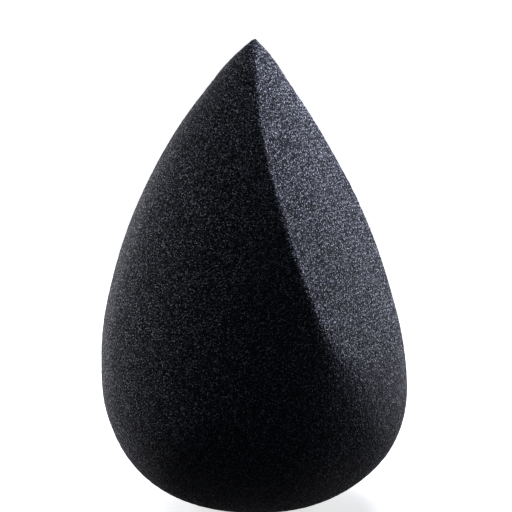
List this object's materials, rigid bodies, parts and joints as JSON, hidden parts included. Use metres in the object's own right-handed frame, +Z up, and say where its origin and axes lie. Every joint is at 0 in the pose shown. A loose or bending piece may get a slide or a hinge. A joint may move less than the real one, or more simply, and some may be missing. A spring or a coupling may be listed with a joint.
{
  "type": "makeup sponge",
  "caption": "Pointed drop of soft black foam with a flat bevel down its side, for dabbing and blending cream and liquid makeup.",
  "frame": {"origin": "centre of the small flat that the sponge stands on, which lies on the drop's axis", "axes": "+Z up the drop's axis to the tip, +X to the side that the bevel faces, and the XZ plane is the sponge's plane of symmetry"},
  "size_m": [0.0398, 0.04, 0.0615],
  "materials": {
    "foam": "matte, fine open-celled polyurethane foam, black"
  },
  "bodies": {
    "root": {"sponge_body": "foam"}
  },
  "joints": []
}
